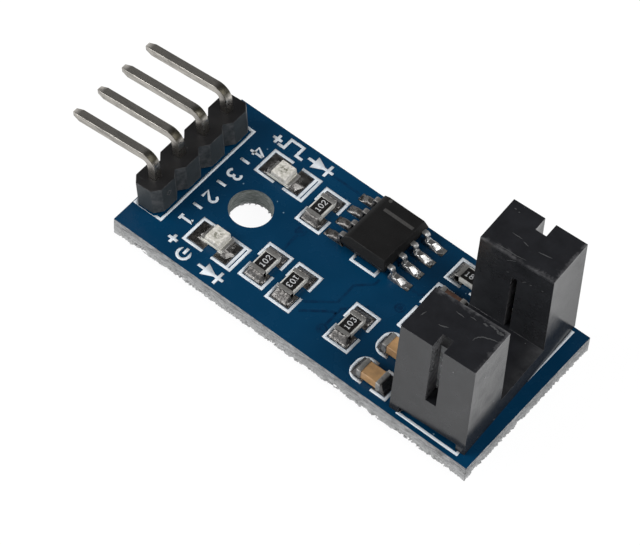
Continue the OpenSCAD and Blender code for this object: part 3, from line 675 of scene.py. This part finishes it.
def dress(node, material, edge=0):
    """Gives a CAD node its material, and rounds its edges a little where edge isn't 0."""
    solid = NODES[node]
    mesh = solid.data
    if "custom_normal" in mesh.attributes:
        mesh.attributes.remove(mesh.attributes["custom_normal"])
    mesh.materials.clear()
    mesh.materials.append(material)
    smooth(mesh, 30)
    weld = solid.modifiers.new("weld", "WELD")
    weld.merge_threshold = 1e-7
    if edge:
        round_edges(solid, edge)


def dress_frame():
    """Dresses every CAD node but the board, which has a piece in its place."""
    body = middle("comparator_body")
    for node in sorted(NODES):
        if node == "circuit_board":
            continue
        finish, edge = next((finish, edge) for part, finish, edge in DRESS if part in node)
        # The comparator's leads are duller on the side away from the sensor, and painted darker there as
        # shade
        if node.startswith("comparator_lead") and middle(node).x < body.x:
            finish = "dull_lead_metal"
        if finish == "light_lens":
            FINISH[finish] = cast_lens(node, [sum(c) / 2 for c in zip(*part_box(node))])
        dress(node, FINISH[finish], edge)
    shrunk = NODES["sensor_housing"].modifiers.new("room_for_scuffs", "DISPLACE")
    shrunk.mid_level = 0
    shrunk.strength = -SCUFF_HEIGHT * MM


# Circuit board, with the torn glass fibres of its cut edges


def ragged(x, y, z, thickness):
    """How far the cut edge is torn away at a point, most of all along the underside."""
    least, torn, chipped, fuzzed_low, fuzzed_high = 0.004, 0.34, 0.3, 0.26, 0.022
    low = max(0.0, 1 - z / (0.6 * thickness)) ** 1.4
    tear = max(0.0, noise.noise(Vector((x * 1.1, y * 1.1, 7.3))) - 0.12)
    chip = max(0.0, noise.noise(Vector((x * 5, y * 5, z * 2))) - 0.05)
    fuzz = abs(noise.noise(Vector((x * 9, y * 9, z * 7))))
    return least + low * (torn * tear + chipped * chip + fuzzed_low * fuzz) + fuzzed_high * fuzz


def torn_block(low, high):
    """A block with torn sides, taller than the board, for cutting the board's sides with."""
    step, levels, spare = 0.07, 18, 0.2
    corner_tear, corner_reach = 0.1, 1.2
    thickness = high.z - low.z
    corners = [(low.x, low.y), (high.x, low.y), (high.x, high.y), (low.x, high.y)]
    inwards = [(0, 1), (-1, 0), (0, -1), (1, 0)]
    rim = []
    for side, inward in enumerate(inwards):
        start, end, before = corners[side], corners[(side + 1) % 4], inwards[side - 1]
        count = round(math.dist(start, end) / step)
        for i in range(count):
            at = [start[k] + (end[k] - start[k]) * i / count for k in (0, 1)]
            way = inward if i else (inward[0] + before[0], inward[1] + before[1])
            fade = min(1, (corner_tear + min(i, count - i) * step) / corner_reach)
            rim.append((at, way, fade))
    verts, faces = [], []
    for level in range(levels + 1):
        z = low.z - spare + (thickness + 2 * spare) * level / levels
        for (x, y), way, fade in rim:
            tear = fade * ragged(x, y, min(max(z, 0), thickness), thickness)
            verts.append((x + way[0] * tear, y + way[1] * tear, z))
    around = len(rim)
    for level in range(levels):
        for i in range(around):
            n = (i + 1) % around
            a, b = level * around, (level + 1) * around
            faces.append([a + i, a + n, b + n, b + i])
    faces.append(list(range(around))[::-1])
    faces.append([levels * around + i for i in range(around)])
    return verts, faces


def cut_board():
    """A mesh, in metres, of the board's own solid cut to the torn outline."""
    verts, faces = torn_block(*box_mm("circuit_board"))
    block = bpy.data.meshes.new("torn_block")
    block.from_pydata(verts, [], faces)
    cutter = in_scene("torn_block", block)
    source = bmesh.new()
    source.from_mesh(NODES["circuit_board"].data)
    bmesh.ops.scale(source, vec=(1 / MM,) * 3, verts=source.verts)
    bmesh.ops.remove_doubles(source, verts=source.verts, dist=1e-4)
    copied = bpy.data.meshes.new("board_copy")
    source.to_mesh(copied)
    source.free()
    solid = in_scene("board_copy", copied)
    cut = solid.modifiers.new("cut", "BOOLEAN")
    cut.operation = "INTERSECT"
    cut.solver = "EXACT"
    cut.object = cutter
    bpy.context.view_layer.update()
    mesh = bpy.data.meshes.new_from_object(solid.evaluated_get(bpy.context.evaluated_depsgraph_get()))
    for helper in (solid, cutter):
        bpy.data.objects.remove(helper)
    mesh.transform(Matrix.Scale(MM, 4))
    return mesh


def board():
    """The torn board, with mask on its faces, bare sides and a bare hole."""
    mesh = cut_board()
    mesh.materials.clear()
    for material in (MASK, LAMINATE, DRILLED):
        mesh.materials.append(material)
    for face in mesh.polygons:
        at_hole = math.hypot(face.center.x, face.center.y) < HOLE_REACH * MM
        face.material_index = 0 if abs(face.normal.z) > 0.99 else 2 if at_hole else 1
    piece = finish_piece("board", mesh, 50)
    for face in mesh.polygons:
        face.use_smooth = face.material_index > 0
    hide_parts("circuit_board")


def shard(at, size, chance, verts, faces):
    """A small uneven lump with eight faces, as a torn flake of laminate."""
    start = len(verts)
    for axis in range(3):
        for way in (-1, 1):
            corner = [chance.uniform(-0.3, 0.3) * size[k] for k in range(3)]
            corner[axis] += way * size[axis] * chance.uniform(0.6, 1)
            verts.append([at[k] + corner[k] for k in range(3)])
    for x in (0, 1):
        for y in (2, 3):
            for z in (4, 5):
                face = [start + x, start + y, start + z]
                faces.append(face if (x + y + z) % 2 else face[::-1])


def board_flakes():
    """Flakes of torn glass cloth that hang from the lower rim of the cut edges and of the hole."""
    low, high = box_mm("circuit_board")
    reach, droop, hole_flakes = 0.34, 0.22, 46
    chance = random.Random(11)
    verts, faces = [], []
    sides = [(0, low.y, 1), (0, high.y, -1), (1, low.x, 1), (1, high.x, -1)]
    for along, edge, inward in sides:
        across = 1 - along
        at = low[along] + reach
        while at < high[along] - reach:
            long, deep = chance.uniform(0.05, reach), chance.uniform(0.03, droop)
            size = [0, 0, deep]
            size[along], size[across] = long, 0.5 * chance.uniform(0.1, reach)
            spot = [0, 0, chance.uniform(-0.5, 0.9) * deep]
            spot[along], spot[across] = at, edge + inward * (1.3 * size[across] + chance.uniform(0, 0.05))
            shard(spot, size, chance, verts, faces)
            at += long * chance.uniform(0.9, 2.4)
    for i in range(hole_flakes):
        turn = math.tau * (i + chance.random()) / hole_flakes
        size = [chance.uniform(0.05, 0.26) for axis in range(3)]
        radius = HOLE_RADIUS + 0.35 * size[0]
        shard((radius * math.cos(turn), radius * math.sin(turn), 0.2 * size[2]), size, chance, verts, faces)
    new_piece("board_flakes", verts, faces, LAMINATE, "board_laminate", 20)


def board_relief():
    """Covered vias and traces: low bands and rings under the mask, as the photograph hints at them."""
    top = box_mm("circuit_board")[1].z
    sunk, proud, trace_width = 0.01, 0.012, 0.2
    via_radius, via_width, via_middle = 0.33, 0.15, 0.2
    vias = [(3.79, 0.76), (9.94, -4.49), (12.9, 0.3)]
    routes = [
        [(7.63, -3.59), (9.42, -2.1), (9.38, -0.34), (10.4, 0.7), (10.4, 1.2)],
        [(7.84, -4.38), (9.63, -2.93), (9.94, -2.93)],
        [(3.84, -1.15), (3.79, 0.35)],
        [(9.94, -4.1), (9.94, -2.4), (11.3, -1.0)],
        [(2.1, 5.9), (4.6, 5.9), (5.1, 5.79)],
        [(12.5, 1.98), (13.2, 1.98), (13.9, 2.6)],
    ]
    verts, faces = [], []
    for route in routes:
        ribbon([(x, y, top - sunk) for x, y in route], trace_width, sunk + proud, verts, faces)
    for centre in vias:
        rim = [(x, y, top - sunk) for x, y in arc(centre, (via_radius, via_radius), steps=32)[:-1]]
        ribbon(rim, via_width, sunk + proud, verts, faces, ring=True)
        disc(centre, via_middle, top - sunk, top + 0.5 * proud, verts, faces)
    new_piece("board_relief", verts, faces, TRACE, "board_laminate")


# Solder


def lumps(x, y, size, depth):
    return depth * noise.noise(Vector((x / size, y / size, 3.7)))


def bell(distance, reach):
    """1 at 0, and 0 well away from it."""
    return math.exp(-((distance / reach) ** 2))


def swell(distance, reach):
    """0 at 0, and 1 well beyond it."""
    return 1 - math.exp(-distance / reach)


def drop(distance, reach):
    """1 well before 0, and 0 well beyond it."""
    return 1 / (1 + math.exp(distance / reach))


def from_rim(x, y, low, high):
    """How far inside a pad's rim a point lies."""
    return max(min(x - low.x, high.x - x, y - low.y, high.y - y), 0)


def film_height(x, y, low, high):
    """The thin solder film on a pad, which thins out to its rim."""
    thickness, rim = 0.03, from_rim(x, y, low, high)
    return thickness * swell(rim, 0.06) + lumps(x, y, 0.3, 0.012) * swell(rim, RIM_REACH)


def lump_height(x, y, low, high, chip, top):
    """Solder that climbs top high up a resistor's or capacitor's end and falls to the pad's outer end."""
    end_reach, side_reach = 0.09, 0.22
    chip_low, chip_high = chip
    at, centre = (x, y), (low + high) / 2
    axis = 0 if chip_high.x - chip_low.x > chip_high.y - chip_low.y else 1
    across = 1 - axis
    beyond = 1 if centre[axis] > (chip_low[axis] + chip_high[axis]) / 2 else -1
    end_face = chip_high[axis] if beyond > 0 else chip_low[axis]
    room = abs((high[axis] if beyond > 0 else low[axis]) - end_face) * 0.95
    away = beyond * (at[axis] - end_face)
    beside = max(chip_low[across] - at[across], at[across] - chip_high[across], 0)
    wrap = bell(away, end_reach) if away < 0 else 1
    run = (1 + math.cos(math.pi * min(max(away, 0) / room, 1))) / 2
    wet = wrap * run * max(0.0, 1 - beside / side_reach) ** 1.2
    rough = lumps(x, y, 0.17, 0.07) + lumps(x, y, 0.09, 0.012)
    return swell(from_rim(x, y, low, high), RIM_REACH) * wet * (top + rough)


def light_lump_height(x, y, chip, across):
    """Solder at a light's ends: a slanting blob at +X, across above the light's -Y side, and a bead at -X."""
    crest, crest_away, half = 0.26, 0.12, 0.36
    bead_tall, bead_reach, end_tall, end_reach = 0.24, 0.16, 0.1, 0.25
    chip_low, chip_high = chip
    away, off = x - chip_high.x, y - chip_low.y - across
    slant = crest - 0.6 * (away - crest_away) + 0.24 * off
    blob = min(slant, 1.3 * (half - abs(off)), 0.27 + 2.5 * away)
    bead = bead_tall * bell(math.dist((x, y), (chip_low.x - 0.08, chip_low.y + 0.4)), bead_reach)
    ends = 0
    if chip_low.y < y < chip_high.y:
        ends = end_tall * bell(max(away, chip_low.x - x, 0), end_reach)
    return max(0.0, blob, bead, ends) * (1 + lumps(x, y, 0.15, 0.15))


def chip_fillets():
    """Solder over each chip part's pads: a thin film that swells to a lump against the part's metal end."""
    ends = {n: box_mm(n) for n in NODES if n.endswith("_ends")}
    climb = {"resistor": 0.52, "capacitor": 0.74}
    blob_across = {"light_1_ends": 0.5, "light_2_ends": 0.2}
    verts, faces = [], []
    for low, high in filter(is_chip_pad, top_pads()):
        centre = (low + high) / 2
        name = min(ends, key=lambda n: ((ends[n][0] + ends[n][1]) / 2 - centre).length)
        chip = ends[name]

        def height(x, y):
            if name in blob_across:
                lump = light_lump_height(x, y, chip, blob_across[name])
            else:
                lump = lump_height(x, y, low, high, chip, climb[name.split("_")[0]])
            return max(THINNEST, film_height(x, y, low, high) + lump)

        mound(low, high, height, (32, 32), verts, faces)
    piece = new_piece("chip_solder_fillets", verts, faces, FINISH["dull_solder"], "solder", 60)
    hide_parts("chip_solder")


def top_pads():
    """Lowest and highest corner of each pad on the board's top."""
    return [pad for pad in islands("pads") if pad[0].z > 1]


def is_lead_pad(pad):
    """True for the comparator's pads, which are long along X and narrow."""
    low, high = pad
    return high.x - low.x > 1.6 and high.y - low.y < 0.8


def is_chip_pad(pad):
    """True for the pads of chip parts, which are neither the comparator's nor the header's."""
    return not is_lead_pad(pad) and pad[0].x > HEADER_PADS_END


def joint_profile(back, off, fall):
    """A comparator joint's outline, height and roughness, back behind the toe and off its middle line."""
    riser_back, riser_reach, riser_climb = 0.74, 0.12, 0.3
    heel_back, end_past, smooth_from, smooth_to = 0.95, 0.62, -0.33, 0.15
    riser = riser_climb * bell(back - riser_back, riser_reach)
    heel = drop(back - heel_back, 0.05)
    foot = max(0.05, min(0.33, 0.3 + fall * (back - 0.08) + 0.07 * off))
    end = drop(-back - end_past + 0.25 * off * off, 0.04)
    across = max(0.0, 1 - abs(off) ** 4) ** 0.5
    rough_back = 0.35 * min(1, max(0, (back - smooth_to) / 0.1))
    rough_end = min(1, max(0, (smooth_from - back) / 0.1))
    return across * end, foot * heel + riser, rough_back + rough_end


def lead_joints():
    """Solder over the comparator's pads: it wraps each foot, climbs its riser and slopes away at its toe."""
    body = middle("comparator_body")
    leads = [box_mm(n) for n in sorted(NODES) if n.startswith("comparator_lead")]
    near, far = ([], []), ([], [])
    for low, high in filter(is_lead_pad, top_pads()):
        side = 1 if low.x > body.x else -1
        lead = min(leads, key=lambda b: (b[0] + b[1] - low - high).length)
        toe = abs((lead[1] if side > 0 else lead[0]).x - body.x)
        middle_y, half = (low.y + high.y) / 2, (high.y - low.y) / 2
        fall = 0.44 if abs(middle_y - body.y) < LEAD_PITCH else 0.6

        def height(x, y):
            back, off = toe - abs(x - body.x), (y - middle_y) / half
            share, rise, grade = joint_profile(back, off, fall)
            rough = (lumps(x, y, 0.24, 0.03) + lumps(x, y, 0.1, 0.014)) * grade
            return max(THINNEST, share * (rise + rough))

        mound(low, high, height, (56, 26), *(far if side > 0 else near))
    bright = new_piece("lead_solder_joints", *far, FINISH["solder"], "solder", 60)
    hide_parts("comparator_solder")
    # The joints away from the sensor take the darker chip solder: painted shade
    new_piece("shaded_lead_solder_joints", *near, FINISH["dull_solder"], "solder", 60)


# Print


def board_numerals():
    """The pin labels' place holds plain numbers, one beside each pin."""
    column, height, pen, turn = -2.72, 1.12, 0.2, -90
    top, ink = box_mm("legend")[0].z, FINISH["legend_ink"]
    for i in range(1, 5):
        at = (column, middle(f"header_pin_{i}").y)
        numerals(f"pin_numeral_{i}", str(i), height, pen, at, turn, top, ink)


def chip_numerals():
    """Generic value codes on the resistors, each turned by some degrees."""
    height, pen = 0.45, 0.062
    codes = [("102", 90), ("102", 90), ("103", -90), ("103", 90), ("181", 0), ("103", 0)]
    for i, (code, turn) in enumerate(codes, 1):
        glaze = f"resistor_{i}_glaze"
        at, top = middle(glaze), box_mm(glaze)[1].z
        numerals(f"resistor_{i}_numerals", code, height, pen, (at.x, at.y), turn, top, NUMERAL_INK)


def comparator_print():
    """A faint bar along the first lead's end of the comparator, and a dot at the first lead whose pale ink is
    the painted highlight of a moulded dimple.
    """
    top = box_mm("comparator_body")[1].z
    sunk, proud = 0.01, 0.004
    bar_ends, bar_y, bar_width = (7.62, 10.15), 5.04, 0.27
    dot, dot_radius = (7.53, 5.86), 0.14
    verts, faces = [], []
    ribbon([(x, bar_y, top - sunk) for x in bar_ends], bar_width, sunk + proud, verts, faces)
    # The dot's pale ink is a painted highlight where a moulded dimple catches the light
    disc(dot, dot_radius, top - sunk, top + proud, verts, faces)
    new_piece("comparator_print", verts, faces, FAINT_INK_AND_HIGHLIGHT, "comparator_resin")


# Wear


def on_sensor(x, y, z):
    """A point in the sensor's own frame, whose middle is the housing's, brought into the row frame."""
    centre = middle("sensor_housing")
    c, s = math.cos(SENSOR_TURN), math.sin(SENSOR_TURN)
    return (centre.x + c * x - s * y, centre.y + s * x + c * y, z)


def sensor_scuffs():
    """Pale scuffs on the towers' tops: lines in the sensor's own frame, each with its width."""
    low = box_mm("sensor_housing")[1].z - SCUFF_HEIGHT
    marks = [
        ([(1.33, -4.47), (1.38, -4.2), (1.61, -3.9), (2.05, -3.7), (2.44, -3.6), (2.73, -3.56)], 0.08),
        ([(1.13, -2.98), (1.52, -2.95)], 0.12),
        ([(-1.1, -4.82), (-0.76, -4.75), (-0.46, -4.61)], 0.09),
        ([(-2.42, -4.97), (-2.36, -4.73), (-2.29, -4.48)], 0.07),
        ([(-0.77, -3.28), (-0.43, -3.31), (-0.1, -3.34)], 0.07),
        ([(0.16, -3.03), (0.65, -3.05)], 0.06),
        ([(-1.49, 4.1), (-1, 4.09), (-0.67, 4.08)], 0.06),
        ([(-0.51, 3.96), (-0.02, 3.84)], 0.06),
        ([(0.76, 3.85), (1.26, 3.94), (1.75, 4.02)], 0.07),
        ([(-1.82, 2.72), (-1.03, 2.76), (-0.24, 2.74), (0.5, 2.82)], 0.05),
        ([(-2.5, 5.82), (-2.32, 5.8)], 0.08),
        ([(-2.12, 5.7), (-2.0, 5.74)], 0.07),
        ([(2.1, -2.86), (2.4, -2.95), (2.72, -2.9)], 0.2),
        ([(1.5, -2.78), (1.9, -2.8), (2.2, -2.84)], 0.12),
    ]
    verts, faces = [], []
    for number, (points, width) in enumerate(marks):
        line = [on_sensor(x, y, low) for x, y in frayed(points, width, number)]
        ribbon(line, width, 0.98 * SCUFF_HEIGHT, verts, faces, pointed=0.8)
    new_piece("sensor_scuffs", verts, faces, SCUFF, "sensor_plastic")


def slot_scuffs():
    """Faint fibres and specks on the far tower's side of the slot: points (x, height above the board)."""
    marks = [
        ([(-0.7, 9.0), (-0.4, 9.24), (-0.1, 9.4)], 0.05), ([(1.2, 7.84), (1.34, 7.94)], 0.07),
        ([(2.14, 8.0), (2.26, 8.06)], 0.07), ([(-0.62, 7.72), (-0.48, 7.86)], 0.06),
        ([(0.62, 7.66), (0.9, 7.9)], 0.05),
    ]
    floor = box_mm("circuit_board")[1].z
    verts, faces = [], []
    for number, (points, width) in enumerate(marks):
        start = len(verts)
        ribbon([(x, z, 0) for x, z in frayed(points, width, number)], width, 0.8 * SCUFF_HEIGHT, verts, faces)
        verts[start:] = [
            on_sensor(x, SLOT_HALF + SCUFF_HEIGHT - out, z + floor) for x, z, out in verts[start:]]
    new_piece("slot_scuffs", verts, faces, SCUFF, "sensor_plastic")


def header_mark():
    """A small moulded square outline, on its corner, on the leaning side of the header's first cell."""
    low, high = box_mm("header_housing")
    across, height, half, line, depth = middle("header_pin_1").y, 3.3, 0.22, 0.07, 0.03
    corners = [(-half, 0, 0), (0, -half, 0), (half, 0, 0), (0, half, 0)]
    flat, faces = [], []
    ribbon(corners, line, depth, flat, faces, ring=True)
    foot = low.z + CELL_DEPTH * math.sin(HEADER_LEAN)
    verts = []
    for a, b, out in flat:
        z = height + b * math.cos(HEADER_LEAN)
        verts.append((high.x - math.tan(HEADER_LEAN) * (z - foot) + out - depth / 2, across + a, z))
    new_piece("header_mark", verts, faces, SCUFF, "header_plastic")


def frayed(points, width, number):
    """The same line in short steps, each thrown a little off it."""
    steps, line = 6, []
    for start, end in zip(points, points[1:]):
        for i in range(steps):
            x, y = (start[k] + (end[k] - start[k]) * i / steps for k in (0, 1))
            push = 0.5 * width * noise.noise(Vector((x * 9, y * 9, number)))
            line.append((x + push, y - push))
    return line + [points[-1]]


# Inside the indicator lights


def light_chips():
    """The die in each light, with its cup and a strap, seen through the lens."""
    cup_x, cup, cup_wall, tall = 0.05, (0.24, 0.3), 0.07, 0.2
    die, die_width, die_tall = (-0.08, 0.16), 0.2, 0.24
    strap, strap_width = ((-0.5, -0.3), (-0.2, -0.1)), 0.06
    for i in (1, 2):
        at = middle(f"light_{i}_lens")
        foot = box_mm(f"light_{i}_lens")[0].z
        verts, faces = [], []
        rim = [(x, y, foot) for x, y in arc((at.x + cup_x, at.y), cup, steps=20)[:-1]]
        ribbon(rim, cup_wall, tall, verts, faces, ring=True)
        ribbon([(at.x + x, at.y, foot) for x in die], die_width, die_tall, verts, faces)
        ribbon([(at.x + x, at.y + y, foot) for x, y in strap], strap_width, tall, verts, faces)
        new_piece(f"light_{i}_die", verts, faces, DIE, "light_lens")


# Floor, light and camera


def stage_floor():
    """A pale floor that the camera and gloss see as almost white, and that keeps the shadow."""
    size, below = 3000, box_mm("header_pin_1")[0].z - 0.01
    brightness, shine_share = 1.07, 0.88
    mesh = bpy.data.meshes.new("floor")
    corners = [(-size, -size), (size, -size), (size, size), (-size, size)]
    mesh.from_pydata([Vector((x, y, below)) * MM for x, y in corners], [], [[0, 1, 2, 3]])
    floor = in_scene("floor", mesh)
    material = bpy.data.materials.new("pale_floor")
    tree = empty_tree(material)
    matt = add(tree, "BsdfDiffuse", {"Color": (0.80, 0.80, 0.80, 1)})
    glow = add(tree, "Emission", {"Color": (1, 1, 1, 1), "Strength": brightness})
    ray = add(tree, "LightPath")
    kinds = [ray.outputs[f"Is {kind} Ray"] for kind in ("Camera", "Glossy", "Transmission")]
    share = product(combine(tree, "MAXIMUM", *kinds), shine_share)
    mixed = add(tree, "MixShader", {0: share, 1: matt.outputs[0], 2: glow.outputs[0]})
    add(tree, "OutputMaterial", {"Surface": mixed.outputs[0]})
    mesh.materials.append(material)


def tent():
    """The world: bright round the horizon, dim overhead, white to the camera."""
    world = bpy.data.worlds.new("tent")
    bpy.context.scene.world = world
    tree = empty_tree(world)
    up = split(add(tree, "TexCoord").outputs["Generated"])["Z"]
    tone = ramp(
        up,
        (0.0, (0.9, 0.9, 0.9)), (0.35, (0.5, 0.5, 0.51)), (0.58, (0.13, 0.13, 0.13)), (1, (0.1, 0.1, 0.1)))
    soft = add(tree, "Background", {"Color": tone})
    white = add(tree, "Background", {"Color": (1, 1, 1, 1)})
    ray = add(tree, "LightPath")
    mixed = add(tree, "MixShader", {0: ray.outputs["Is Camera Ray"], 1: soft.outputs[0], 2: white.outputs[0]})
    add(tree, "OutputWorld", {"Surface": mixed.outputs[0]})


def softbox(name, direction, size, power):
    """A square lamp that faces the board from a direction."""
    lamp = bpy.data.lights.new(name, "AREA")
    lamp.size = size * MM
    lamp.energy = power
    holder = in_scene(name, lamp)
    way = Vector(direction).normalized()
    holder.location = (Vector(CAMERA_TARGET) + way * LAMP_DISTANCE) * MM
    holder.rotation_mode = "QUATERNION"
    holder.rotation_quaternion = way.to_track_quat("Z", "Y")
    holder.visible_camera = False


def camera():
    data = bpy.data.cameras.new("camera")
    data.lens = CAMERA_LENS
    data.sensor_width = SENSOR_WIDTH
    data.clip_start, data.clip_end = 0.01, 20
    data.shift_x, data.shift_y = -PIXEL / 2, PIXEL / 2
    holder = in_scene("camera", data)
    azimuth, elevation = math.radians(CAMERA_AZIMUTH), math.radians(CAMERA_ELEVATION)
    level = math.cos(elevation)
    back = Vector((math.sin(azimuth) * level, -math.cos(azimuth) * level, math.sin(elevation)))
    holder.location = (Vector(CAMERA_TARGET) + back * CAMERA_DISTANCE) * MM
    holder.rotation_mode = "QUATERNION"
    roll = Quaternion((0, 0, 1), math.radians(CAMERA_ROLL))
    holder.rotation_quaternion = (-back).to_track_quat("-Z", "Y") @ roll
    bpy.context.scene.camera = holder


bpy.context.scene.view_settings.view_transform = "Standard"
camera()
tent()
softbox("key", (0.62, 0.05, 0.78), 240, 0.95)
softbox("fill", (-0.62, -0.55, 0.56), 300, 1.4)
stage_floor()
dress_frame()
board()
board_flakes()
board_relief()
chip_fillets()
lead_joints()
board_numerals()
chip_numerals()
comparator_print()
sensor_scuffs()
slot_scuffs()
header_mark()
light_chips()
